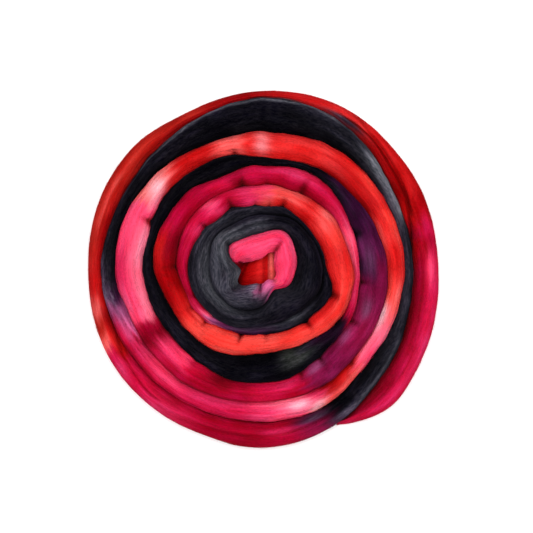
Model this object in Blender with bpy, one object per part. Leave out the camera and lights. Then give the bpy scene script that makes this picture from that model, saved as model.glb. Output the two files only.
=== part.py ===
"""A length of hand-dyed wool roving, wound on itself into a flat coil.

The strand starts low in a small pit at the middle, rises round it and winds outwards clockwise
as seen from above, for nearly nine turns, until its tail is tucked against the turn before.
Every place along the strand is given as a count of clock hours wound, starting at 9 o'clock:
hour 0 is 9 o'clock of the first turn, hour 3 is its 12 o'clock, and hour 12 is 9 o'clock again.
The coil lies flat on the plane z = 0 with +Z up and 12 o'clock towards +Y. Metres throughout.
"""

import math
from collections import namedtuple

import bmesh
import bpy

MM = 0.001

# Driving dimensions
LOFT = 34 * MM  # usual height of the strand as it stands on edge in the coil
WALL_GAP = 0.6 * MM  # clearance between neighbouring turns
HOURS_PER_TURN = 12
FIRST_HOUR = 0.55  # where the strand comes up out of the pit
LAST_HOUR = 104.15  # where the tail ends
TAPER_HOURS = 0.65  # length of the pointed tail
LEAST_TAIL = 0.03  # share of the taper that is cut off at the very tip

# How a turn takes its shape between its neighbours
HEIGHT_BY_WIDTH = 0.26  # how much a freely spread turn stands above a squeezed one
SQUEEZE_RANGE = (0.3, 1.5)  # seen width over resting width, at its limits
RIM_SLUMP = 0.14  # share of its height that the outermost turn loses
START_HEIGHT = 0.78  # of the usual height, where the strand comes up out of the pit
TAIL_HEIGHT = 0.2  # of the usual height, at the tip of the tail
TAIL_BLUNTNESS = 0.6  # 1 for a straight-sided tail, less for a rounder one
TAIL_BEND = 8  # how sharply the rim bends into the tail
TAIL_RINGS = (0.75, 0.5, 0.3, 0.15, 0.06)  # shares of the tail at which it gets rings of its own
DOME_BY_WIDTH = 0.6  # height of the rounded top over the width of a turn
DOME_LIMITS = (2.5 * MM, 9.5 * MM)
DOME_BY_HEIGHT = 0.6  # the most of a low section's height that is dome
LEAN_HEIGHT = 0.75 * LOFT  # height at which a turn has its seen width
TOE_IN = 0.10  # share of the width by which the sides draw in near the floor
TOE_HEIGHT = 0.2
SOLE_HALF = 0.6  # half width of the flat underside over that of the turn

# Slow unevenness of the strand's height: share of the height, radians an hour, start in radians
Ripple = namedtuple("Ripple", "share pace start")
RIPPLES = (Ripple(0.025, 1.9, 0.0), Ripple(0.020, 0.73, 1.0))

# Mesh density
RINGS_PER_HOUR = 3
LEAST_SPACING = 0.4  # of the usual spacing, between an even ring and one that a tuck adds
DOME_POINTS = 9

# Edge of each turn: its outer radius in mm at the twelve clock hours. The first row is the wall of
# the pit at the middle, which the first turn goes round.
Turn = namedtuple("Turn", "at9 at10 at11 at12 at1 at2 at3 at4 at5 at6 at7 at8")
TURN_EDGES = (
    Turn(28.0, 11.6, 9.0, 9.4, 16.0, 11.2, 10.4, 12.4, 10.8, 12.0, 13.6, 22.2),
    Turn(17.6, 31.6, 28.8, 29.6, 34.0, 30.8, 28.4, 25.6, 20.0, 29.6, 36.0, 41.2),
    Turn(43.2, 46.4, 44.4, 44.8, 45.6, 46.0, 46.8, 47.6, 46.0, 47.2, 52.0, 57.2),
    Turn(60.0, 56.8, 53.6, 50.4, 50.0, 49.2, 50.8, 57.6, 54.0, 53.6, 57.6, 64.8),
    Turn(69.2, 70.0, 68.4, 66.0, 66.0, 69.2, 72.8, 73.6, 68.2, 67.0, 75.2, 78.8),
    Turn(87.0, 86.8, 80.4, 82.0, 84.8, 79.4, 77.4, 82.2, 83.6, 90.4, 91.2, 92.0),
    Turn(96.0, 97.6, 95.2, 88.8, 92.0, 94.0, 99.6, 101.2, 105.2, 105.2, 110.4, 112.4),
    Turn(117.6, 115.8, 110.2, 110.0, 111.2, 112.0, 113.2, 113.6, 119.2, 122.0, 122.8, 126.0),
    Turn(129.2, 126.0, 129.2, 135.2, 132.6, 122.0, 120.8, 126.4, 136.1, 143.3, 141.8, 141.9),
    Turn(139.8, 142.2, 139.2, 143.2, 145.2, 142.6, 141.1, 147.0, 152.0, 153.6, 153.6, 153.6),
)

# Places between the hours where an edge swells outwards, or draws in where push is negative.
Swell = namedtuple("Swell", "hour push_mm spread_hours")
SWELLS = (
    Swell(25.6, -2.2, 0.35),
    Swell(27.6, 1.5, 0.25),
    Swell(30.5, 2.6, 0.35),
    Swell(31.4, -1.8, 0.30),
    Swell(47.5, -2.6, 0.40),
    Swell(49.6, 3.0, 0.40),
    Swell(50.7, 1.9, 0.25),
    Swell(55.5, -2.6, 0.45),
    Swell(56.5, 2.2, 0.35),
    Swell(57.6, 1.7, 0.35),
    Swell(60.5, -2.0, 0.30),
    Swell(62.5, 3.0, 0.35),
    Swell(67.6, -2.6, 0.45),
    Swell(79.6, -2.8, 0.35),
    Swell(91.6, -1.8, 0.40),
    Swell(93.6, -1.8, 0.35),
    Swell(97.6, 2.0, 0.35),
    Swell(100.5, -1.2, 0.40),
    Swell(103.6, 3.4, 0.35),
)

# Tucks across the strand, where the tighter inner side of a turn buckles. Reach is how far the tuck
# runs across, from 0 at the inner side to 1 at the outer side.
Tuck = namedtuple("Tuck", "hour depth_mm spread_hours reach")
TUCKS = (
    Tuck(4.2, 6.0, 0.16, 0.75),
    Tuck(10.8, 6.0, 0.20, 1.00),
    Tuck(13.2, 3.5, 0.14, 0.40),
    Tuck(37.2, 3.0, 0.12, 0.40),
    Tuck(38.1, 4.5, 0.14, 0.60),
    Tuck(39.6, 4.0, 0.15, 0.50),
    Tuck(42.7, 5.0, 0.20, 0.65),
    Tuck(43.7, 4.0, 0.12, 0.50),
    Tuck(45.6, 4.0, 0.12, 0.55),
    Tuck(46.6, 3.0, 0.10, 0.40),
    Tuck(47.0, 3.0, 0.10, 0.45),
    Tuck(50.6, 5.0, 0.12, 0.85),
    Tuck(51.9, 5.0, 0.12, 0.80),
    Tuck(65.3, 3.5, 0.14, 0.35),
    Tuck(67.9, 4.0, 0.10, 0.45),
    Tuck(68.33, 3.5, 0.08, 0.40),
    Tuck(72.8, 3.5, 0.10, 0.35),
)

TUCK_DRAW = 0.45  # how far a tuck draws the inner side outwards, over its depth
DEEPEST_CUT = 0.45  # of the strand's height, for tucks and splits together

# Splits along the strand, where it parts into two ridges. Across runs from -1 at the inner side of
# the turn to 1 at the outer side, and a split wanders between the places given.
Split = namedtuple("Split", "depth_mm places")
Place = namedtuple("Place", "hour across")
SPLITS = (
    Split(4.5, (Place(91.4, -0.9), Place(91.8, -0.45), Place(92.3, 0.25), Place(93.0, 0.6))),
    Split(4.0, (Place(93.2, 0.5), Place(94.4, 0.45), Place(94.9, 0.0), Place(95.4, -0.9))),
    Split(5.0, (Place(100.1, 0.95), Place(100.6, 0.35), Place(101.0, -0.2), Place(101.5, -0.95))),
)
SPLIT_HALF_WIDTH = 0.22  # of the turn's half width
SPLIT_FADE_HOURS = 0.25

# The low inner end in the pit: where its two sides lie and how high its top is, all in mm. The
# first row follows on from the strand at FIRST_HOUR, and the last is the end itself.
PitRing = namedtuple("PitRing", "inner_x inner_y outer_x outer_y top")
PIT_END = (
    PitRing(-10.2, 2.3, -19.8, 3.2, 19.0),
    PitRing(-9.4, 2.2, -17.4, -2.8, 15.5),
    PitRing(-7.2, 4.0, -15.0, -10.4, 14.0),
    PitRing(-2.0, 7.8, -6.2, -12.6, 14.5),
    PitRing(3.0, 10.2, 3.0, -10.0, 13.5),
    PitRing(7.0, 8.2, 7.4, -6.6, 11.5),
    PitRing(9.2, 2.8, 9.4, -3.0, 8.5),
)
CAP_SHRINK = 0.55  # size of the last ring before an end closes
CAP_STEP = 1.2 * MM

WOOL_COLOUR = (0.42, 0.01, 0.04, 1.0)
WOOL_ROUGHNESS = 0.9


def clear_scene():
    """Removes whatever the scene held before."""
    for obj in list(bpy.data.objects):
        bpy.data.objects.remove(obj, do_unlink=True)


def smooth_step(low, high, value):
    """0 below low, 1 above high, and an even ease between them."""
    share = min(1.0, max(0.0, (value - low) / (high - low)))
    return share * share * (3 - 2 * share)


def bell(offset, spread):
    """1 at no offset, falling off evenly on both sides."""
    return math.exp(-((offset / spread) ** 2))


def edge_samples():
    """All edge radii in winding order, in metres. The first belongs to hour -12."""
    return [radius * MM for turn in TURN_EDGES for radius in turn]


EDGE_SAMPLES = edge_samples()


def wound_edge(hour):
    """Outer radius of the strand at an hour, on a smooth curve through the table's values."""
    place = min(max(hour + HOURS_PER_TURN, 0.0), len(EDGE_SAMPLES) - 1.001)
    index = int(place)
    share = place - index
    before = EDGE_SAMPLES[max(index - 1, 0)]
    start = EDGE_SAMPLES[index]
    end = EDGE_SAMPLES[index + 1]
    after = EDGE_SAMPLES[min(index + 2, len(EDGE_SAMPLES) - 1)]
    curve = (
        2 * start
        + (end - before) * share
        + (2 * before - 5 * start + 4 * end - after) * share**2
        + (3 * start - before - 3 * end + after) * share**3
    )
    return curve / 2 + sum(s.push_mm * MM * bell(hour - s.hour, s.spread_hours) for s in SWELLS)


def seen_edge(hour):
    """Outer radius of the strand near its top, with the tail drawn in to a point."""
    inner = wound_edge(hour - HOURS_PER_TURN)
    left = max(LEAST_TAIL, (LAST_HOUR - hour) / TAPER_HOURS)
    drawn = (1 + left ** (-TAIL_BEND * TAIL_BLUNTNESS)) ** (-1 / TAIL_BEND)
    return inner + (wound_edge(hour) - inner) * drawn


def floor_edge(hour):
    """Outer radius of the strand at the floor, where neighbouring turns share the room evenly."""
    here = seen_edge(hour)
    if not 1 < hour < LAST_HOUR - HOURS_PER_TURN:
        return here
    even = (seen_edge(hour - HOURS_PER_TURN) + here + seen_edge(hour + HOURS_PER_TURN)) / 3
    end = LAST_HOUR - HOURS_PER_TURN
    return here + (even - here) * smooth_step(1, 3, hour) * (1 - smooth_step(end - 3, end, hour))


def side_radius(hour, height, outer):
    """Radius of a turn's inner or outer side at a height: a straight wall that may lean."""
    edge_hour = hour if outer else hour - HOURS_PER_TURN
    low, high = floor_edge(edge_hour), seen_edge(edge_hour)
    radius = low + (high - low) * min(1.0, height / LEAN_HEIGHT)
    return radius - WALL_GAP / 2 if outer else radius + WALL_GAP / 2


def crown_height(hour):
    """Height of the strand's top: squeezed turns lie lower than those that spread over them."""
    seen = seen_edge(hour) - seen_edge(hour - HOURS_PER_TURN)
    resting = floor_edge(hour) - floor_edge(hour - HOURS_PER_TURN)
    ratio = min(max(seen / resting, SQUEEZE_RANGE[0]), SQUEEZE_RANGE[1])
    rim_start = LAST_HOUR - HOURS_PER_TURN
    slump = 1 - RIM_SLUMP * smooth_step(rim_start - 1.5, rim_start + 1.0, hour)
    unevenness = 1 + sum(r.share * math.sin(r.pace * hour + r.start) for r in RIPPLES)
    rise = START_HEIGHT + (1 - START_HEIGHT) * smooth_step(FIRST_HOUR, FIRST_HOUR + 1, hour)
    left = min(1.0, max(0.0, (LAST_HOUR - hour) / TAPER_HOURS))
    tail = TAIL_HEIGHT + (1 - TAIL_HEIGHT) * math.sqrt(left)
    return LOFT * (1 + HEIGHT_BY_WIDTH * (ratio - 1)) * slump * unevenness * rise * tail


def tuck_amount(hour, across):
    """How deep the tucks press in at a place on the strand, in metres."""
    depth = 0.0
    for tuck in TUCKS:
        fade = 1 - smooth_step(-1, -1 + 2 * tuck.reach, across)
        depth += tuck.depth_mm * MM * bell(hour - tuck.hour, tuck.spread_hours) * fade
    return depth


def split_across(split, hour):
    """Where a split lies across the strand at an hour."""
    places = split.places
    for first, second in zip(places, places[1:]):
        if hour <= second.hour:
            share = min(1.0, max(0.0, (hour - first.hour) / (second.hour - first.hour)))
            return first.across + (second.across - first.across) * share
    return places[-1].across


def split_amount(hour, across):
    """How deep the splits cut in at a place on the strand, in metres."""
    depth = 0.0
    for split in SPLITS:
        start, end = split.places[0].hour, split.places[-1].hour
        fade = smooth_step(start - SPLIT_FADE_HOURS, start, hour)
        fade *= 1 - smooth_step(end, end + SPLIT_FADE_HOURS, hour)
        offset = across - split_across(split, hour)
        depth += split.depth_mm * MM * bell(offset, SPLIT_HALF_WIDTH) * fade
    return depth


def profile(height, width):
    """The strand's section as (across, height) pairs: a rounded top, then down, under and up."""
    dome = min(max(DOME_BY_WIDTH * width, DOME_LIMITS[0]), DOME_LIMITS[1], DOME_BY_HEIGHT * height)
    points = []
    for step in range(DOME_POINTS):
        angle = math.pi * step / (DOME_POINTS - 1)
        points.append((-math.cos(angle), height - dome + dome * math.sin(angle)))
    drawn_in = 1 - TOE_IN
    points.append((drawn_in, TOE_HEIGHT * height))
    points.append((SOLE_HALF, 0.0))
    points.append((-SOLE_HALF, 0.0))
    points.append((-drawn_in, TOE_HEIGHT * height))
    return points


def wound_ring(hour):
    """The strand's section at an hour, as points on the radius through that clock hour."""
    bearing = math.pi - math.radians(30 * hour)
    height = crown_height(hour)
    width = seen_edge(hour) - seen_edge(hour - HOURS_PER_TURN)
    ring = []
    for across, rise in profile(height, width):
        share = (across + 1) / 2
        level = rise / height
        tuck = tuck_amount(hour, across)
        up = rise - min((tuck + split_amount(hour, across)) * level, DEEPEST_CUT * rise)
        inner = side_radius(hour, up, outer=False) + TUCK_DRAW * tuck * level**3
        outer = side_radius(hour, up, outer=True)
        radius = inner + (outer - inner) * share
        ring.append((radius * math.cos(bearing), radius * math.sin(bearing), up))
    return ring


def pit_ring(row):
    """A section of the low inner end, between its two sides."""
    width = math.hypot(row.outer_x - row.inner_x, row.outer_y - row.inner_y) * MM
    ring = []
    for across, up in profile(row.top * MM, width):
        share = (across + 1) / 2
        x = (row.inner_x + (row.outer_x - row.inner_x) * share) * MM
        y = (row.inner_y + (row.outer_y - row.inner_y) * share) * MM
        ring.append((x, y, up))
    return ring


def closing_ring(ring, before):
    """A smaller ring just past an end ring, which rounds the end off."""
    count = len(ring)
    middle = [sum(p[k] for p in ring) / count for k in range(3)]
    inward = [sum(p[k] for p in before) / count for k in range(3)]
    run = math.dist(middle[:2], inward[:2])
    step = [(middle[k] - inward[k]) / run * CAP_STEP for k in range(2)]
    return [
        (
            middle[0] + (x - middle[0]) * CAP_SHRINK + step[0],
            middle[1] + (y - middle[1]) * CAP_SHRINK + step[1],
            z * CAP_SHRINK,
        )
        for x, y, z in ring
    ]


def ring_hours():
    """Hours at which the wound strand gets a ring: evenly spaced, and closer at each tuck."""
    first, last = math.ceil(FIRST_HOUR * RINGS_PER_HOUR), math.floor(LAST_HOUR * RINGS_PER_HOUR)
    even = [n / RINGS_PER_HOUR for n in range(first, last + 1)]
    extra = [FIRST_HOUR, LAST_HOUR] + [LAST_HOUR - share * TAPER_HOURS for share in TAIL_RINGS]
    for tuck in TUCKS:
        extra += [tuck.hour - tuck.spread_hours, tuck.hour, tuck.hour + tuck.spread_hours]
    clear = [h for h in even if min(abs(h - e) for e in extra) > LEAST_SPACING / RINGS_PER_HOUR]
    return sorted(clear + extra)


def all_rings():
    """Every section of the strand, from the end in the pit out to the tail."""
    pit = [pit_ring(row) for row in reversed(PIT_END)]
    wound = [wound_ring(hour) for hour in ring_hours()]
    rings = pit + wound
    return [closing_ring(rings[0], rings[1])] + rings + [closing_ring(rings[-1], rings[-2])]


def centred(rings):
    """The rings moved sideways, so that the middle of the coil's bounding box is at the origin."""
    xs = [p[0] for ring in rings for p in ring]
    ys = [p[1] for ring in rings for p in ring]
    shift_x, shift_y = (min(xs) + max(xs)) / 2, (min(ys) + max(ys)) / 2
    return [[(x - shift_x, y - shift_y, z) for x, y, z in ring] for ring in rings]


def skin(rings):
    """One closed mesh over the rings, with a flat cap at each end."""
    bm = bmesh.new()
    loops = [[bm.verts.new(point) for point in ring] for ring in rings]
    count = len(loops[0])
    for first, second in zip(loops, loops[1:]):
        for k in range(count):
            after = (k + 1) % count
            bm.faces.new((first[k], first[after], second[after], second[k]))
    bm.faces.new(loops[0][::-1])
    bm.faces.new(loops[-1])
    bmesh.ops.triangulate(bm, faces=bm.faces[:])
    bmesh.ops.recalc_face_normals(bm, faces=bm.faces[:])
    mesh = bpy.data.meshes.new("roving")
    bm.to_mesh(mesh)
    bm.free()
    return mesh


def wool_material():
    """Dyed combed wool: matt, with the coil's main crimson."""
    material = bpy.data.materials.new("dyed_wool")
    material.use_nodes = True
    shader = material.node_tree.nodes["Principled BSDF"]
    shader.inputs["Base Color"].default_value = WOOL_COLOUR
    shader.inputs["Roughness"].default_value = WOOL_ROUGHNESS
    shader.inputs["Metallic"].default_value = 0.0
    return material


def build_roving():
    """The whole wound strand as one object."""
    mesh = skin(centred(all_rings()))
    mesh.shade_smooth()
    roving = bpy.data.objects.new("roving", mesh)
    bpy.context.scene.collection.objects.link(roving)
    roving.data.materials.append(wool_material())
    return roving


clear_scene()
build_roving()
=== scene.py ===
"""Dresses the coil of hand-dyed wool roving: the combed strand, its dye, its loose fibres, the studio.

The strand is built again with finer sections, folds and ridges than its plain solid. The outermost
turn is wound as the solid's is, and the seams inside it lie up to 3 mm from the solid's. A place on
the strand is given by two numbers: the clock hours wound since the inner end, starting at 9 o'clock,
and how far across the strand it lies, from -1 at the side that faces the middle of the coil to 1 at
the side that faces out. Metres, unless a name ends in mm. +Z is up, and 12 o'clock is towards +Y.
"""

import logging
import math
from dataclasses import dataclass, field
from enum import Enum
from typing import NamedTuple, Sequence

import bpy
import numpy as np
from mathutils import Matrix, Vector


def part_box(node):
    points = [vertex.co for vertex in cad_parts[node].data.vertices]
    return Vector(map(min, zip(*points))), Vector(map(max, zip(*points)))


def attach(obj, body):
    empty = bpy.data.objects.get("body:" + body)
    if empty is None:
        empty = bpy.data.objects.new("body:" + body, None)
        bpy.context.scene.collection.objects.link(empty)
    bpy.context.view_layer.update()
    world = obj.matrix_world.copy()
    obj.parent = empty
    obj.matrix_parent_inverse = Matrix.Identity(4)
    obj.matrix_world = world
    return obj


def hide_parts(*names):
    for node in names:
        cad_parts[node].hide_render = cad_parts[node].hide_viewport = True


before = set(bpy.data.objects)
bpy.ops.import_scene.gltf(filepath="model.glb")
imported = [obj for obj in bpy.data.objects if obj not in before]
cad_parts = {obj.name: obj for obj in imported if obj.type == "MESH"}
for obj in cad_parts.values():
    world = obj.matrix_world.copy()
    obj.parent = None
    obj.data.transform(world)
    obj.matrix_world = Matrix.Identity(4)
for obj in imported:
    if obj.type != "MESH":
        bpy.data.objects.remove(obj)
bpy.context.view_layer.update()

LOG = logging.getLogger("roving")
MM = 0.001
HOURS_PER_TURN = 12
HOUR_ANGLE = math.radians(360 / HOURS_PER_TURN)
INNER_PACE_MM = 7.85  # strand to an hour where the winding starts
PACE_GROWTH_MM = 0.628  # how much more of it each later hour takes
INNER_FALLOFF = 2.4  # how closely sag and the painted shade at the inner side keep to it
Array = np.ndarray


# --- dyes


def srgb(hex_colour: str) -> Array:
    """Red, green and blue of an sRGB hex colour, from 0 to 1."""
    return np.array([int(hex_colour[k : k + 2], 16) / 255 for k in (0, 2, 4)])


def linear(colour: Array) -> Array:
    """Turns sRGB colours, from 0 to 1, to linear light."""
    return np.where(colour <= 0.04045, colour / 12.92, ((colour + 0.055) / 1.055) ** 2.4)


class Dye(Enum):
    """The dyebath colours that show along the strand, as sRGB hex. Some also paint shade and highlights,
    and one grey only a highlight.
    """

    INK = "040309"
    SOOT = "0F0D16"
    CHARCOAL = "1D1C24"
    SLATE = "34343D"
    STONE = "4A4B52"
    ASH = "62646B"
    # Used only to paint a grey highlight along the outer rim of a black turn.
    HIGHLIGHT_GREY = "94909A"
    DUSK = "3E3444"
    HEATHER = "7A6A80"
    MOSS = "2A2D29"
    AUBERGINE = "300A2A"
    PURPLE = "581240"
    PLUM = "780E3C"
    MULBERRY = "961648"
    MAUVE = "9A4C78"
    ORCHID = "E26CA0"
    WINE = "80001A"
    CRIMSON = "B0042E"
    RASPBERRY = "CE1042"
    ROSE = "DE3062"
    HOT_PINK = "FF4C78"
    CANDY = "FF6E8C"
    SORBET = "FF98B2"
    BLUSH = "FFC6D0"
    SALMON = "F08A88"
    CORAL = "FC6462"
    VERMILION = "F84A42"
    SCARLET = "E22A2A"
    RED = "C61416"
    BRICK = "B62018"
    TERRACOTTA = "DC4C4A"
    BLOOD = "A00208"
    PEACH = "F0645E"


(
    INK, SOOT, CHARCOAL, SLATE, STONE, ASH, HIGHLIGHT_GREY, DUSK, HEATHER, MOSS, AUBERGINE, PURPLE, PLUM, MULBERRY,
    MAUVE, ORCHID, WINE, CRIMSON, RASPBERRY, ROSE, HOT_PINK, CANDY, SORBET, BLUSH, SALMON, CORAL,
    VERMILION, SCARLET, RED, BRICK, TERRACOTTA, BLOOD, PEACH,
) = Dye


class Stretch(NamedTuple):
    """The dye at one place along the strand, at its inner side and, if another, at its outer side."""

    hour: float
    inner: Dye
    outer: Dye | None = None


class Splash(NamedTuple):
    """A patch of another dye, soft at its rim, with its half sizes along and across."""

    hour: float
    across: float
    half_hours: float
    half_across: float
    dye: Dye
    strength: float


STRETCHES = tuple(Stretch(*row) for row in (
    # The end in the pit counts down below the first hour.
    (-3.2, PEACH), (-2.02, PEACH), (-1.9, RED), (-1.3, SCARLET), (-0.7, RED), (-0.2, BLOOD),
    # First turn: wine, hot pink, orchid, then grey. The blood and wine from hour -0.2 to 0.38, where the
    # strand dips under the bar into the pit, are painted shade.
    (0.15, WINE, BLOOD), (0.38, WINE, CRIMSON), (0.55, HOT_PINK), (6.6, HOT_PINK),
    (7.25, HOT_PINK, ROSE), (7.5, CANDY, HOT_PINK), (7.9, ORCHID, ROSE), (8.2, ORCHID, MAUVE),
    (8.7, ORCHID, CHARCOAL), (9.2, MAUVE, CHARCOAL), (9.5, DUSK, CHARCOAL), (10.2, DUSK, SLATE),
    (10.7, DUSK, SLATE), (11.1, SLATE),
    # Second turn: grey, black, and grey again.
    (12.6, STONE, SLATE), (13.4, STONE), (14.4, SLATE, CHARCOAL), (15.1, SLATE, CHARCOAL),
    (15.6, CHARCOAL, SOOT), (16.6, SOOT), (19.2, CHARCOAL, INK), (20.4, CHARCOAL, SOOT),
    (21.5, CHARCOAL), (22.6, STONE, CHARCOAL),
    # Third turn: grey and black, then mauve and pink into crimson.
    (24.3, STONE, CHARCOAL), (25.35, CHARCOAL, SLATE), (26.3, CHARCOAL), (27.2, SOOT, CHARCOAL),
    (28.0, INK, SOOT), (30.9, INK, SOOT), (31.5, SLATE, INK), (31.9, STONE, INK), (32.4, SLATE, SOOT),
    (33.2, DUSK, AUBERGINE), (33.8, DUSK, PURPLE), (34.2, PURPLE, MAUVE), (34.5, MAUVE, ORCHID),
    (34.72, CANDY, ROSE), (35.0, CRIMSON, ROSE), (35.4, CRIMSON),
    # Fourth turn: crimson and rose, then scarlet and vermilion.
    (36.6, RASPBERRY, CRIMSON), (37.0, ROSE, RASPBERRY), (37.4, RASPBERRY), (37.7, ROSE, HOT_PINK),
    (38.05, CRIMSON, RASPBERRY), (38.6, ROSE), (39.15, TERRACOTTA, HOT_PINK), (39.45, SCARLET, CORAL),
    (39.75, SCARLET, CORAL), (40.3, RED, SCARLET), (40.75, SCARLET, CORAL), (41.2, SCARLET, VERMILION),
    (41.6, SCARLET), (42.3, SCARLET, VERMILION), (43.0, SCARLET, VERMILION), (43.6, SCARLET, VERMILION),
    (44.0, VERMILION), (46.6, VERMILION), (47.1, SCARLET, RED), (47.45, RED, BLOOD), (47.8, BLOOD),
    # Fifth turn: crimson and pink, then black.
    (48.5, WINE, RED), (49.0, CRIMSON), (49.7, CRIMSON), (50.1, RASPBERRY), (51.0, CRIMSON, RASPBERRY),
    (51.8, CRIMSON, ROSE), (52.3, CRIMSON, RASPBERRY), (52.85, ROSE, RASPBERRY),
    (53.4, CANDY, HOT_PINK), (53.8, CANDY, ROSE), (54.6, ROSE), (54.9, RASPBERRY, CRIMSON),
    (55.2, INK, AUBERGINE), (55.6, AUBERGINE, INK), (56.0, CHARCOAL, SOOT), (56.35, MOSS, INK),
    (56.75, INK), (58.5, SOOT),
    # Sixth turn: black, plum, crimson, then pink.
    (60.5, INK, SOOT), (62.5, INK), (63.8, INK), (64.4, SOOT, AUBERGINE), (65.0, AUBERGINE),
    (65.6, PURPLE), (66.0, AUBERGINE, PLUM), (66.35, PLUM), (67.1, MULBERRY), (67.75, PLUM),
    (68.1, MULBERRY, PLUM), (68.5, RASPBERRY, CRIMSON), (69.0, RASPBERRY), (69.35, CRIMSON),
    (69.75, WINE, CRIMSON), (70.1, RASPBERRY, CRIMSON), (70.3, HOT_PINK, CRIMSON),
    (70.6, ROSE, RASPBERRY), (70.95, WINE), (71.08, CRIMSON), (71.25, CANDY, HOT_PINK),
    # Seventh turn: pink, red and coral with pale lights, rose, then black.
    (72.0, CANDY, ROSE), (72.6, CANDY, HOT_PINK), (72.9, HOT_PINK), (73.05, CANDY, CORAL),
    (73.5, RED, CORAL), (73.75, RED), (74.1, RED), (74.4, CORAL), (74.65, CORAL), (74.85, SCARLET),
    (75.3, SCARLET), (75.85, SCARLET), (76.25, BLOOD, SCARLET), (76.75, BLOOD, VERMILION),
    (77.0, BLOOD, SCARLET), (77.25, SCARLET, VERMILION), (77.9, SCARLET), (78.45, VERMILION, CORAL),
    (78.95, CANDY), (79.3, CANDY, HOT_PINK), (79.7, RED, CORAL), (80.0, BLOOD, CORAL),
    (80.2, ROSE, CORAL), (80.45, CANDY, HOT_PINK), (80.75, CANDY, HOT_PINK), (81.0, HOT_PINK, ROSE),
    (81.4, ROSE, RASPBERRY), (81.9, ROSE, RASPBERRY), (82.35, HOT_PINK, RASPBERRY),
    (83.0, ROSE, CRIMSON), (83.2, ORCHID, RASPBERRY), (83.5, MAUVE), (83.65, AUBERGINE, HEATHER),
    (83.95, INK, DUSK),
    # Eighth turn: black and grey, then crimson. The ash at its outer side from hour 88.6 to 89.15 is a
    # painted highlight along the rim.
    (84.25, INK, CHARCOAL), (84.9, INK, SOOT), (86.0, INK, SOOT), (87.0, INK, SOOT),
    (88.15, INK, CHARCOAL), (88.6, SOOT, ASH), (89.15, DUSK, ASH), (89.55, DUSK, CHARCOAL),
    (91.0, CHARCOAL), (91.6, INK, CHARCOAL), (92.0, INK, SOOT), (92.4, PLUM, MULBERRY), (92.8, CRIMSON),
    (93.6, CRIMSON), (94.2, CRIMSON, ROSE), (94.6, RASPBERRY), (94.85, RASPBERRY, ROSE),
    (95.0, RED, RASPBERRY), (95.15, RED, CORAL), (95.38, BLOOD, BRICK), (95.55, RED, TERRACOTTA),
    (95.8, RED),
    # The rest, round to the tail: reds, then wine with a raspberry outer side. Its blood and wine inner
    # side is partly painted shade beside the next turn in, and its raspberry outer side partly a painted
    # highlight along the rim.
    (96.4, BLOOD, BRICK), (97.3, BRICK), (98.2, BLOOD, BRICK), (98.7, BLOOD), (99.3, RED),
    (100.2, RED, SCARLET), (100.5, BLOOD, RED), (101.0, BLOOD, RED), (101.3, RED, BLOOD),
    (101.6, WINE, RASPBERRY), (101.7, BLOOD, CRIMSON), (102.0, WINE, RASPBERRY),
    (103.2, WINE, RASPBERRY), (104.2, WINE, RASPBERRY),
))

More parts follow.
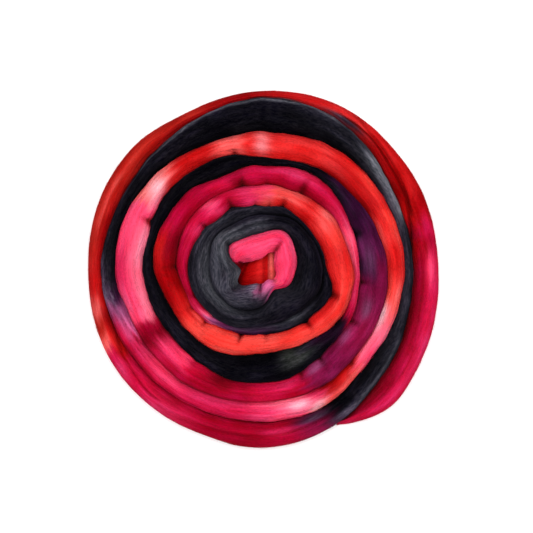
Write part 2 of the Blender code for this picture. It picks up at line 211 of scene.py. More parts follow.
SPLASHES = tuple(Splash(*row) for row in (
    (53.3, 0.2, 0.5, 0.6, CANDY, 0.5), (56.2, 0.0, 0.35, 0.5, MOSS, 0.7),
    # The wine splashes at 50.5 and 51.9 and the ink one at 65.3 are painted shade in the creases of
    # tucks.
    (50.5, -0.3, 0.17, 1.1, WINE, 0.85), (51.9, -0.55, 0.1, 0.8, WINE, 0.6),
    (65.3, -0.8, 0.12, 0.5, INK, 0.8), (8.3, -0.2, 0.5, 0.9, ORCHID, 1.0),
    (4.0, 0.15, 0.3, 0.35, ROSE, 0.7), (9.45, -0.85, 0.2, 0.2, CORAL, 0.5),
    (9.9, -0.8, 0.6, 0.4, HEATHER, 0.95), (9.5, -0.4, 0.22, 0.45, ORCHID, 0.45),
    (11.4, -1.0, 0.8, 0.4, ASH, 0.9), (11.75, 0.15, 0.3, 0.3, CHARCOAL, 0.7),
    (12.75, -0.1, 0.5, 0.35, ASH, 0.8), (14.5, 0.8, 0.8, 0.3, SOOT, 0.7),
    (14.8, 0.0, 0.4, 0.5, STONE, 0.6), (10.9, -0.8, 0.3, 0.4, ASH, 0.5),
    (19.6, -0.8, 0.5, 0.4, SLATE, 0.8), (65.8, -0.25, 0.3, 0.45, HEATHER, 0.35),
    (66.7, -0.15, 0.22, 0.4, HEATHER, 0.5), (67.3, -0.75, 0.18, 0.35, MAUVE, 0.8),
    (68.06, -0.6, 0.2, 0.35, MAUVE, 0.8), (68.65, -0.4, 0.2, 0.5, ROSE, 0.6),
    (70.6, -0.4, 0.25, 0.6, HOT_PINK, 0.6), (71.05, 0.1, 0.14, 0.8, WINE, 0.6),
    # The blood splash at 72.75 is painted shade in the crease of a tuck.
    (72.75, -0.85, 0.06, 0.25, BLOOD, 0.7), (72.4, -0.7, 0.3, 0.35, SORBET, 0.85),
    (73.25, 0.15, 0.2, 0.8, BLUSH, 0.85), (75.0, 0.0, 0.13, 1.0, BLUSH, 0.55),
    (76.2, -0.45, 0.3, 0.3, CORAL, 0.5), (46.78, -0.8, 0.2, 0.4, CORAL, 0.7),
    (76.75, -0.1, 0.45, 0.6, RED, 0.8), (77.8, 0.1, 0.25, 0.35, RED, 0.75),
    (77.5, -0.8, 0.35, 0.3, CORAL, 0.7), (78.68, -0.7, 0.2, 0.6, BLUSH, 1.0),
    (79.82, -0.6, 0.2, 0.5, RED, 0.8), (80.5, -0.1, 0.15, 0.5, BLUSH, 0.75),
    # The ash splashes at 86.8 and 91.4 and the pale grey one at 89.0 paint a highlight along the outer
    # rim of a black turn.
    (80.25, 0.6, 0.13, 0.5, BLUSH, 0.8), (86.8, 0.9, 1.8, 0.1, ASH, 0.8),
    (89.0, 0.7, 0.35, 0.35, HIGHLIGHT_GREY, 0.6), (91.4, 0.75, 0.5, 0.2, ASH, 0.6),
    (92.35, -0.5, 0.22, 0.4, DUSK, 0.8), (92.0, 0.75, 0.2, 0.3, HEATHER, 0.6),
    (92.8, 0.0, 0.2, 0.4, ROSE, 0.6), (93.3, 0.6, 0.35, 0.5, WINE, 0.4),
    (95.55, 0.3, 0.16, 0.7, SALMON, 0.4), (96.8, 0.5, 0.5, 0.28, CORAL, 0.5),
    (99.25, -0.7, 0.2, 0.3, ASH, 0.8), (99.98, -0.3, 0.26, 0.6, DUSK, 1.0),
    # The hot pink and rose splashes on the tail's outer side are partly a painted highlight along the
    # rim.
    (102.0, 0.6, 0.2, 0.4, HOT_PINK, 0.9), (102.9, 0.75, 0.8, 0.35, ROSE, 0.5),
))


def lattice(column: Array, row: Array, seed: int) -> Array:
    """Even random numbers from -1 to 1 on whole-number places, the same on every run.

    Args:
        column: Whole numbers, one way.
        row: Whole numbers, the other way.
        seed: Picks one of many such patterns.

    Returns:
        One number for each place.
    """
    mixed = (column * 374761393 + row * 668265263 + seed * 1013904223) & 0xFFFFFFFF
    mixed = ((mixed ^ (mixed >> 13)) * 1274126177) & 0xFFFFFFFF
    return ((mixed ^ (mixed >> 16)) & 0xFFFF) / 32767.5 - 1


def drift(x: Array, y: Array, seed: int) -> Array:
    """Smooth unevenness over two directions, one swell for each unit.

    Args:
        x: Places one way.
        y: Places the other way.
        seed: Picks one of many such patterns.

    Returns:
        Values from -1 to 1, of the shape of x and y together.
    """
    x, y = np.broadcast_arrays(np.asarray(x, float), np.asarray(y, float))
    column, row = np.floor(x).astype(np.int64), np.floor(y).astype(np.int64)
    s, t = x - column, y - row
    s, t = s * s * (3 - 2 * s), t * t * (3 - 2 * t)
    low = lattice(column, row, seed) * (1 - s) + lattice(column + 1, row, seed) * s
    high = lattice(column, row + 1, seed) * (1 - s) + lattice(column + 1, row + 1, seed) * s
    return low * (1 - t) + high * t


class Layer(NamedTuple):
    """A layer of unevenness: how many swells it has to a unit each way, and how much it counts."""

    x_rate: float
    y_rate: float
    seed: int
    share: float = 1.0


def layered(x: Array, y: Array, layers: Sequence[Layer]) -> Array:
    """Layers of smooth unevenness over two directions, added up."""
    return sum(layer.share * drift(x * layer.x_rate, y * layer.y_rate, layer.seed) for layer in layers)


# Across the strand, then along it in mm: how the dye took.
RAGGED_ENDS = (Layer(2.6, 1 / 34, 11), Layer(7.0, 1 / 17, 12, 0.7))
RAGGED_SIDES = (Layer(2.0, 1 / 45, 13, 0.35),)
DYE_CLOUDS = (Layer(1.7, 1 / 11, 14), Layer(5.5, 1 / 38, 15))
DYE_WISPS = (Layer(2.0, 1 / 16, 16), Layer(6.0, 1 / 13, 17, 0.7))
# Along the strand in mm, then across it: how its surface rises and falls.
SURFACE_SWELLS = (Layer(1 / 42, 0.6, 21, 1.2 * MM), Layer(1 / 17, 1.0, 22, 0.8 * MM))
SIDEWAYS_LEAN = (Layer(1 / 60, 0.0, 23, 1.3 * MM),)
COMBED_RIDGES = (Layer(1 / 46, 1 / 1.9, 31, 0.36 * MM), Layer(1 / 21, 1 / 0.95, 32, 0.2 * MM))
EDGE_WOBBLE = (Layer(1 / 12, 0.0, 41), Layer(1 / 5.5, 0.0, 42, 0.5))


def ease(low: float, high: float, value: Array) -> Array:
    """0 below low, 1 above high, and an even ease between them."""
    share = np.clip((value - low) / (high - low), 0, 1)
    return share * share * (3 - 2 * share)


def bell(offset: Array, spread: float) -> Array:
    """1 at no offset, falling off evenly on both sides."""
    return np.exp(-((offset / spread) ** 2))


def pace(hour: Array) -> Array:
    """Millimetres of strand to an hour, roughly, as the turns grow."""
    return INNER_PACE_MM + PACE_GROWTH_MM * np.maximum(hour, 0)


def run_to(hour: Array) -> Array:
    """Millimetres of strand up to an hour, roughly."""
    return INNER_PACE_MM * hour + PACE_GROWTH_MM / 2 * np.maximum(hour, 0) ** 2


def inwards(across: Array) -> Array:
    """1 at the strand's inner side, falling off quickly to 0 at its outer side."""
    return ((1 - across) / 2) ** INNER_FALLOFF


def bearing(hour: Array) -> Array:
    """Which way a clock hour lies from the middle, in radians from +X towards +Y."""
    return math.pi - HOUR_ANGLE * hour


@dataclass(frozen=True)
class DyeChart:
    """How the strand was dyed: stretches along it, and splashes over them.

    Attributes:
        stretches: Dyes along the strand, by rising hour.
        splashes: Patches of other dyes.
        ragged_mm: How far combed fibres carry one dye into the next.
        mottle: How unevenly the dye took, as a share of its strength.
        painted_inner_shade: How much darker the colour is painted at the pressed inner side, as shade.
        rim_and_tip_light: How much pale fibre ends, and a painted highlight along the outer rim, lighten
            the darkest dyes, in sRGB.
        haze: The tint of that lightening.
        wisp_share: How much light wisps of pale fibre add to greys, over the grey's own.
        splash_end: Raggedness of a splash's ends, over that of a change along the strand.
        splash_side: How far a splash's sides waver, over the strand's half width.
        splash_rim: How suddenly a splash ends.
    """

    stretches: tuple[Stretch, ...] = STRETCHES
    splashes: tuple[Splash, ...] = SPLASHES
    ragged_mm: float = 4.0
    mottle: float = 0.14
    painted_inner_shade: float = 0.2
    rim_and_tip_light: float = 0.045
    haze: tuple[float, float, float] = (1.0, 0.85, 1.05)
    wisp_share: float = 0.55
    splash_end: float = 0.3
    splash_side: float = 0.1
    splash_rim: float = 1.2

    def colour(self, hour: Array, across: Array) -> Array:
        """The dye at places on the strand.

        Args:
            hour: Clock hours wound.
            across: From -1 at the inner side to 1 at the outer side.

        Returns:
            Linear red, green and blue, along a new last axis.
        """
        run = run_to(hour)
        shift = layered(across, run, RAGGED_ENDS)
        ragged = self.ragged_mm * ease(-1, 3, hour) / pace(hour)
        side = ease(-0.9, 0.9, across + layered(across, run, RAGGED_SIDES))
        shade = self.stretched(hour + ragged * shift, side[..., None])
        for splash in self.splashes:
            along = (hour + self.splash_end * ragged * shift - splash.hour) / splash.half_hours
            aside = (across + self.splash_side * shift - splash.across) / splash.half_across
            cover = splash.strength * np.exp(-((along**2 + aside**2) ** self.splash_rim))
            shade = shade + (srgb(splash.dye.value) - shade) * cover[..., None]
        return linear(self.taken(shade, run, across))

    def stretched(self, hour: Array, side: Array) -> Array:
        """The dye of the stretches alone.

        Args:
            hour: Clock hours wound.
            side: From 0 at the inner side to 1 at the outer side, with a last axis of one.

        Returns:
            Red, green and blue in sRGB, along the last axis.
        """
        hours = np.array([s.hour for s in self.stretches])
        inner = np.array([srgb(s.inner.value) for s in self.stretches])
        outer = np.array([srgb((s.outer or s.inner).value) for s in self.stretches])
        index = np.clip(np.searchsorted(hours, hour) - 1, 0, len(hours) - 2)
        share = ease(0, 1, (hour - hours[index]) / (hours[index + 1] - hours[index]))[..., None]
        start = inner[index] * (1 - side) + outer[index] * side
        end = inner[index + 1] * (1 - side) + outer[index + 1] * side
        return start * (1 - share) + end * share

    def taken(self, shade: Array, run: Array, across: Array) -> Array:
        """How the wool took the dye: mottled and paler where fibres end, with painted shade at the inner
        side and a painted highlight along the outer rim.

        Args:
            shade: The dye in sRGB, along the last axis.
            run: Millimetres of strand up to each place.
            across: From -1 at the inner side to 1 at the outer side.

        Returns:
            The colour in sRGB.
        """
        cloud = layered(across, run, DYE_CLOUDS)
        # A painted highlight along the outer rim, where sheen would catch the loose fibres at the edge.
        outermost = ease(0.72, 0.97, across)
        tips_and_rim_light = np.maximum(0, layered(across, run, DYE_WISPS)) + 0.9 * outermost * (0.6 + 0.4 * cloud)
        pale = ease(0.25, 0.6, shade.min(axis=-1))
        # Painted shade at the inner side, which pale dyes take less of.
        inner_shade = self.painted_inner_shade * inwards(across) * (1 - pale)
        mottle_and_shade = 1 + inner_shade - self.mottle * cloud
        shade = np.clip(shade, 0, 1) ** mottle_and_shade[..., None] * (1 - 0.3 * inner_shade)[..., None]
        bright = ease(0.15, 0.6, shade.max(axis=-1))
        light = self.rim_and_tip_light * tips_and_rim_light * (1 - 0.75 * bright)
        return np.clip(shade + light[..., None] * np.array(self.haze), 0, 1)

    def wisps(self, colour: Array) -> Array:
        """How much light the wisps of pale fibre add: only blacks and greys have them.

        Args:
            colour: Linear red, green and blue, along the last axis.

        Returns:
            The light they add, with a last axis of one.
        """
        top, low = colour.max(axis=-1, keepdims=True), colour.min(axis=-1, keepdims=True)
        vivid = ease(0.45, 0.8, (top - low) / np.maximum(top, 0.004))
        pale = ease(0.2, 0.4, top)
        return (1 - vivid) * (1 - pale) * self.wisp_share * top


# --- winding


class Turn(NamedTuple):
    """Outer radius of one turn, in mm, at the twelve clock hours."""

    at9: float
    at10: float
    at11: float
    at12: float
    at1: float
    at2: float
    at3: float
    at4: float
    at5: float
    at6: float
    at7: float
    at8: float


class Swell(NamedTuple):
    """A place between the hours where an edge swells outwards, or draws in."""

    hour: float
    push_mm: float
    spread_hours: float


class Tuck(NamedTuple):
    """A fold across the strand; reach is how far it runs, from 0 at the inner side to 1."""

    hour: float
    depth_mm: float
    spread_mm: float
    reach: float


class Split(NamedTuple):
    """A groove along the strand, which wanders from place to place across it."""

    depth_mm: float
    half_width_mm: float
    hours: tuple[float, ...]
    across: tuple[float, ...]


class PitRing(NamedTuple):
    """A section of the low inner end: where its two sides lie and how high it is, in mm."""

    inner_x: float
    inner_y: float
    outer_x: float
    outer_y: float
    top: float


TURN_EDGES = (
    Turn(28.0, 11.6, 9.0, 9.4, 16.0, 11.2, 10.4, 12.4, 10.8, 12.0, 13.6, 22.2),
    Turn(17.6, 31.6, 28.8, 29.4, 34.4, 30.8, 28.4, 24.8, 19.0, 29.6, 37.2, 40.3),
    Turn(42.2, 45.4, 42.9, 43.3, 45.6, 46.0, 47.8, 47.6, 44.2, 44.2, 51.4, 56.8),
    Turn(59.6, 56.8, 55.0, 50.4, 50.0, 49.2, 51.6, 57.6, 53.6, 52.0, 56.6, 63.5),
    Turn(68.0, 70.0, 68.4, 67.2, 67.6, 70.0, 72.8, 73.6, 67.2, 67.0, 74.8, 78.0),
    Turn(87.0, 86.0, 80.4, 81.6, 85.0, 79.4, 77.4, 82.2, 84.5, 90.2, 90.2, 91.6),
    Turn(95.6, 97.6, 95.6, 88.4, 92.0, 94.6, 100.0, 101.2, 105.6, 105.4, 109.4, 111.2),
    Turn(117.0, 116.2, 110.2, 110.0, 112.4, 112.2, 112.8, 113.0, 119.2, 121.6, 122.8, 125.2),
    Turn(128.8, 126.0, 129.2, 137.0, 132.6, 120.8, 119.6, 125.0, 136.1, 143.3, 141.8, 141.9),
    Turn(139.8, 142.2, 139.2, 143.2, 145.2, 142.6, 141.1, 147.0, 152.0, 153.6, 153.6, 153.6),
)
SWELLS = tuple(Swell(*row) for row in (
    (6.3, -1.3, 0.9), (8.5, -1.2, 0.3), (12.5, -0.8, 0.3), (25.6, -2.2, 0.35), (26.5, -1.2, 0.25),
    (27.6, 2.4, 0.3), (30.5, 2.6, 0.35), (31.4, -1.8, 0.30), (35.5, -1.4, 0.3), (47.5, -2.6, 0.40),
    (48.5, 0.9, 0.3), (41.5, -1.4, 0.45), (49.6, 3.0, 0.40), (50.7, 1.9, 0.25), (55.5, -1.4, 0.45),
    (56.5, 1.5, 0.35), (57.6, 1.7, 0.35), (60.5, -2.0, 0.30), (62.5, 3.0, 0.35), (67.6, -2.6, 0.45),
    (71.5, -1.4, 0.3), (73.1, -1.2, 0.3), (75.5, -1.2, 0.3), (79.2, -1.3, 0.3), (79.6, -2.8, 0.35),
    (90.5, -0.6, 0.3), (91.6, -1.8, 0.40), (93.6, -1.8, 0.35), (97.6, 2.0, 0.35), (100.5, -1.2, 0.40),
    (103.6, 3.4, 0.35),
))
TUCKS = tuple(Tuck(*row) for row in (
    (4.17, 7.2, 1.8, 1.0), (7.5, 3.5, 1.5, 1.0), (9.2, 6.0, 1.7, 0.9), (10.83, 6.5, 2.6, 1.0),
    (13.2, 4.5, 2.1, 0.54), (35.3, 3.0, 2.1, 0.72), (37.23, 4.5, 2.1, 0.54), (38.13, 5.4, 2.5, 0.9),
    (38.8, 2.6, 1.6, 0.36), (39.2, 2.6, 1.6, 0.4), (39.6, 4.8, 2.6, 0.75), (42.67, 7.5, 3.9, 0.72),
    (43.67, 6.0, 2.1, 0.72), (44.9, 3.3, 1.6, 0.54), (45.6, 6.8, 2.0, 0.72), (46.57, 4.5, 1.8, 0.54),
    (47.05, 3.0, 2.3, 0.6), (48.05, 4.0, 3.0, 0.5), (50.56, 4.6, 2.7, 1.0), (51.1, 2.4, 2.6, 0.4),
    (51.9, 4.4, 2.8, 0.95), (65.33, 4.5, 2.6, 0.5), (66.25, 5.0, 2.2, 0.5), (67.0, 5.2, 2.4, 0.6),
    (67.9, 6.0, 2.3, 0.54), (68.33, 5.2, 2.1, 0.48), (70.2, 2.2, 2.6, 0.36), (72.77, 4.6, 2.2, 0.7),
    (74.55, 5.5, 2.3, 0.45), (79.55, 3.8, 2.6, 0.48),
))
SPLITS = tuple(Split(*row) for row in (
    (3.0, 1.7, (91.3, 91.8, 92.3, 92.7, 93.3, 93.8, 94.2), (-0.9, -0.45, 0.03, 0.26, 0.38, 0.64, 0.78)),
    (4.5, 1.4, (94.4, 94.69, 94.82, 94.94, 95.14, 95.4), (0.4, 0.07, -0.1, -0.15, -0.8, -0.95)),
    (7.5, 1.5, (100.05, 100.35, 100.6, 100.9, 101.1, 101.25, 101.45, 101.65),
     (0.25, 0.22, 0.0, -0.1, -0.2, -0.35, -0.65, -0.92)),
    (5.5, 1.4, (100.1, 100.28, 100.47, 100.64, 100.9, 101.08, 101.2),
     (0.95, 0.64, 0.5, 0.34, 0.2, 0.0, -0.2)),
    (3.0, 1.3, (82.9, 83.1, 83.3, 83.55, 83.7), (-0.9, -0.4, -0.1, 0.3, 0.7)),
    (4.5, 1.1, (21.3, 23.0, 24.6, 26.4), (0.2, 0.3, 0.1, -0.1)),
    (3.0, 0.9, (22.2, 23.4, 24.4), (-0.35, -0.2, -0.4)),
    (3.0, 1.2, (12.2, 13.0, 14.5, 16.0), (0.1, -0.1, 0.0, 0.2)),
    (1.2, 1.2, (101.9, 102.8, 103.7), (0.35, 0.2, 0.45)),
    (1.0, 1.2, (95.9, 97.0, 98.4), (0.2, 0.35, 0.0)),
    (1.6, 0.9, (92.7, 93.4, 94.1), (0.5, 0.66, 0.9)),
    (1.4, 0.9, (92.3, 93.0, 93.7), (0.62, 0.78, 0.92)),
))
PIT_END = (
    PitRing(-13.0, 6.0, -21.0, -6.0, 11.0),
    PitRing(-10.0, 9.0, -17.5, -15.0, 14.0),
    PitRing(-6.0, 11.0, -9.0, -17.0, 17.0),
    PitRing(-1.0, 13.0, -1.5, -17.0, 18.0),
    PitRing(3.4, 15.0, 3.2, -16.5, 12.5),
    PitRing(6.4, 17.0, 6.4, -16.5, 17.0),
    PitRing(9.5, 16.0, 10.0, -15.5, 15.0),
    PitRing(12.5, 13.0, 13.0, -12.0, 8.0),
)


def through(values: Array, place: Array) -> Array:
    """A smooth curve through evenly spaced values.

    Args:
        values: The values, along the first axis.
        place: Where to read them, counted in values from the first.

    Returns:
        What the curve holds at each place.
    """
    place = np.clip(place, 0, len(values) - 1.001)
    index = place.astype(int)
    share = (place - index).reshape(place.shape + (1,) * (values.ndim - 1))
    last = len(values) - 1
    before, start = values[np.maximum(index - 1, 0)], values[index]
    end, after = values[index + 1], values[np.minimum(index + 2, last)]
    return 0.5 * (
        2 * start
        + (end - before) * share
        + (2 * before - 5 * start + 4 * end - after) * share**2
        + (3 * start - before - 3 * end + after) * share**3
    )


@dataclass(frozen=True)
class Winding:
    """How the strand is wound. Its methods take clock hours and give metres.

    Attributes:
        first_hour: Where the strand comes up out of the pit.
        last_hour: Where the tail ends.
        least_tail: How much of the taper is left off at the tip, over its length.
        tail_bluntness: 1 for a straight taper, less for a blunter one.
        tail_blend: How suddenly the taper starts.
        loft: Usual height of the strand as it stands on edge.
        press_mm: How far each side's fibres reach in among those of the next turn.
        wobble_mm: How far the edges waver. By rim_calm less at the rim, from the rim_hours on.
        height_by_width: How much higher a turn stands that is wider at the top than at the floor.
        squeeze_range: Least and greatest such widening that counts.
        rim_slump: How much lower the outermost turn is, with nothing to hold it up.
        lean_share: Share of the loft over which the sides may lean.
        tuck_draw: How far a tuck draws the inner side out, over its depth.
        crease_share: Share of a tuck's depth in its crease. A trough has the rest, and a puff
            rises on each side. Their widths and places are counted in the tuck's spread.
    """

    first_hour: float = 0.55
    last_hour: float = 104.15
    taper_hours: float = 0.65
    least_tail: float = 0.03
    tail_bluntness: float = 0.6
    tail_blend: int = 8
    loft: float = 34 * MM
    press_mm: float = 0.15
    wobble_mm: float = 0.45
    rim_hours: tuple[float, float] = (90, 92)
    rim_calm: float = 0.85
    height_by_width: float = 0.26
    squeeze_range: tuple[float, float] = (0.3, 1.5)
    rim_slump: float = 0.14
    start_height: float = 0.78
    tail_height: float = 0.2
    lean_share: float = 0.75
    tuck_draw: float = 0.4
    crease_share: float = 0.75
    crease_width: float = 0.8
    trough_width: float = 2.6
    puff_share: float = 0.2
    puff_place: float = 4.2
    puff_width: float = 2.2

    @property
    def rim_start(self) -> float:
        """The hour where the outermost turn starts."""
        return self.last_hour - HOURS_PER_TURN

    def edge(self, hour: Array) -> Array:
        """Outer radius at an hour, on a smooth curve through the table's values.

        Args:
            hour: Clock hours wound.

        Returns:
            The radius, with its swells and its waver.
        """
        table = np.array(TURN_EDGES).ravel() * MM
        radius = through(table, np.asarray(hour, float) + HOURS_PER_TURN)
        for swell in SWELLS:
            radius = radius + swell.push_mm * MM * bell(hour - swell.hour, swell.spread_hours)
        run = run_to(hour)
        calmer = 1 - self.rim_calm * ease(*self.rim_hours, hour)
        return radius + self.wobble_mm * MM * layered(run, run, EDGE_WOBBLE) * calmer

    def seen_edge(self, hour: Array) -> Array:
        """Outer radius near the top, with the tail drawn in to a point.

        Args:
            hour: Clock hours wound.

        Returns:
            The radius.
        """
        inner = self.edge(hour - HOURS_PER_TURN)
        left = np.maximum(self.least_tail, (self.last_hour - hour) / self.taper_hours)
        drawn = (1 + left ** (-self.tail_blend * self.tail_bluntness)) ** (-1 / self.tail_blend)
        return inner + (self.edge(hour) - inner) * drawn

    def floor_edge(self, hour: Array) -> Array:
        """Outer radius at the floor, where neighbouring turns share the room evenly.

        Args:
            hour: Clock hours wound.

        Returns:
            The radius.
        """
        here = self.seen_edge(hour)
        near = self.seen_edge(hour - HOURS_PER_TURN) + self.seen_edge(hour + HOURS_PER_TURN)
        fade = ease(1, 3, hour) * (1 - ease(self.rim_start - 3, self.rim_start, hour))
        return here + ((near + here) / 3 - here) * fade

    def side(self, hour: Array, height: Array, outer: bool) -> Array:
        """Radius of a turn's side at a height: a straight wall that may lean.

        Args:
            hour: Clock hours wound.
            height: Height above the floor.
            outer: Whether it is the outer side.

        Returns:
            The side's radius from the middle of the winding.
        """
        edge_hour = hour if outer else hour - HOURS_PER_TURN
        low, high = self.floor_edge(edge_hour), self.seen_edge(edge_hour)
        radius = low + (high - low) * np.minimum(1, height / (self.lean_share * self.loft))
        return radius + self.press_mm * MM if outer else radius - self.press_mm * MM

    def width(self, hour: Array) -> Array:
        """How wide the strand looks from above."""
        return self.seen_edge(hour) - self.seen_edge(hour - HOURS_PER_TURN)

    def crown(self, hour: Array) -> Array:
        """Height of the top: squeezed turns lie lower than those that spread over them.

        Args:
            hour: Clock hours wound.

        Returns:
            The height.
        """
        resting = self.floor_edge(hour) - self.floor_edge(hour - HOURS_PER_TURN)
        ratio = np.clip(self.width(hour) / resting, *self.squeeze_range)
        lift = 1 + self.height_by_width * (ratio - 1)
        slump = 1 - self.rim_slump * ease(self.rim_start - 1.5, self.rim_start + 1.0, hour)
        # Two slow waves, out of step with each other, keep the turns from one even height.
        uneven = 1 + 0.025 * np.sin(1.9 * hour) + 0.020 * np.sin(0.73 * hour + 1.0)
        risen = ease(self.first_hour, self.first_hour + 1, hour)
        start = self.start_height + (1 - self.start_height) * risen
        left = np.clip((self.last_hour - hour) / self.taper_hours, 0, 1)
        tail = self.tail_height + (1 - self.tail_height) * left**0.5
        return self.loft * lift * slump * uneven * start * tail

    def middle(self, hour: Array) -> Array:
        """Radius of the strand's middle line."""
        return (self.seen_edge(hour) + self.seen_edge(hour - HOURS_PER_TURN)) / 2

    def tucks(self, hour: Array, across: Array) -> Array:
        """How deep the folds across the strand press in, with a little puff beside each.

        Args:
            hour: Clock hours wound.
            across: From -1 at the inner side to 1 at the outer side.

        Returns:
            The depth, less than 0 at a puff.
        """
        depth = np.zeros(np.broadcast(hour, across).shape)
        radius = self.middle(hour)
        for tuck in TUCKS:
            offset, spread = (hour - tuck.hour) * HOUR_ANGLE * radius / MM, tuck.spread_mm
            fade = 1 - ease(-1, -1 + 2 * tuck.reach, across)
            crease = self.crease_share * bell(offset, self.crease_width * spread)
            trough = (1 - self.crease_share) * bell(offset, self.trough_width * spread)
            puff = bell(np.abs(offset) - self.puff_place * spread, self.puff_width * spread)
            depth = depth + tuck.depth_mm * MM * (crease + trough - self.puff_share * puff) * fade
        return depth

    def splits(self, hour: Array, across: Array) -> Array:
        """How deep the grooves along the strand cut in.

        Args:
            hour: Clock hours wound.
            across: From -1 at the inner side to 1 at the outer side.

        Returns:
            The depth.
        """
        depth = np.zeros(np.broadcast(hour, across).shape)
        half = self.width(hour) / 2
        fade_hours = 0.25
        for split in SPLITS:
            start, end = split.hours[0], split.hours[-1]
            offset = (across - np.interp(hour, split.hours, split.across)) * half / MM
            fade = ease(start - fade_hours, start, hour) * (1 - ease(end, end + fade_hours, hour))
            depth = depth + split.depth_mm * MM * bell(offset, split.half_width_mm) * fade
        return depth


# --- strand


@dataclass(frozen=True)
class Section:
    """The strand's cross section, as columns that run along the strand.

    Attributes:
        dome_points: Columns over the rounded top.
        side_points: Columns down each side, besides its lower end.
        fillet_points: Columns round each lower edge, besides its end.
        dome_by_width: Height of the rounded top over the width.
        dome_by_height: The most it may take of the strand's height.
        toe_in: Share of the half width by which the sides draw in near the floor.
        toe_height: Height of the rounded lower edge over the strand's.
        sole_half: Half width of the flat underside over that of the strand.
    """

    dome_points: int = 29
    side_points: int = 4
    fillet_points: int = 2
    dome_by_width: float = 0.66
    dome_limits: tuple[float, float] = (2.5 * MM, 11.0 * MM)
    dome_by_height: float = 0.6
    toe_in: float = 0.10
    toe_height: float = 0.16
    sole_half: float = 0.6

    def columns(self, height: Array, width: Array) -> tuple[Array, Array]:
        """Sections for many places at once.

        Args:
            height: Height of the strand at each place.
            width: Its width there.

        Returns:
            Where each column lies across the strand, from -1 to 1, and how high it is.
        """
        height, width = height[:, None], width[:, None]
        dome = np.clip(self.dome_by_width * width, *self.dome_limits)
        dome = np.minimum(dome, self.dome_by_height * height)
        angle = np.linspace(0, math.pi, self.dome_points)[None, :]
        over = (-np.cos(angle) + 0 * height, height - dome + dome * np.sin(angle))
        drop = np.linspace(0, 1, self.side_points + 2)[None, 1:]
        toe = self.toe_height * height
        down = (1 - self.toe_in * drop**2, (height - dome) * (1 - drop) + toe * drop)
        bend = np.linspace(0, math.pi / 2, self.fillet_points + 2)[None, 1:]
        reach = 1 - self.toe_in - self.sole_half
        under = (self.sole_half + reach * np.cos(bend), toe * (1 - np.sin(bend)))
        across = [over[0], down[0] + 0 * height, under[0] + 0 * height]
        rise = [over[1], down[1], under[1]]
        mirrored = [-c[:, ::-1] for c in (across[2], across[1])]
        return (
            np.concatenate(across + mirrored, axis=1),
            np.concatenate(rise + [rise[2][:, ::-1], rise[1][:, ::-1]], axis=1),
        )


@dataclass
class Grid:
    """The strand's surface as rings of columns, for the mesh and for fibres that lie on it.

    Attributes:
        points: Places, ring by ring and column by column.
        normals: Directions out of the surface.
        hour: Clock hours wound, at each ring.
        across: Where each point lies across the strand.
        along: Metres of strand up to each ring.
        dye: Linear colour at each point, with its painted shade and highlights, and how much light its
            wisps of pale fibre add.
    """

    points: Array
    normals: Array
    hour: Array
    across: Array
    along: Array
    dye: Array


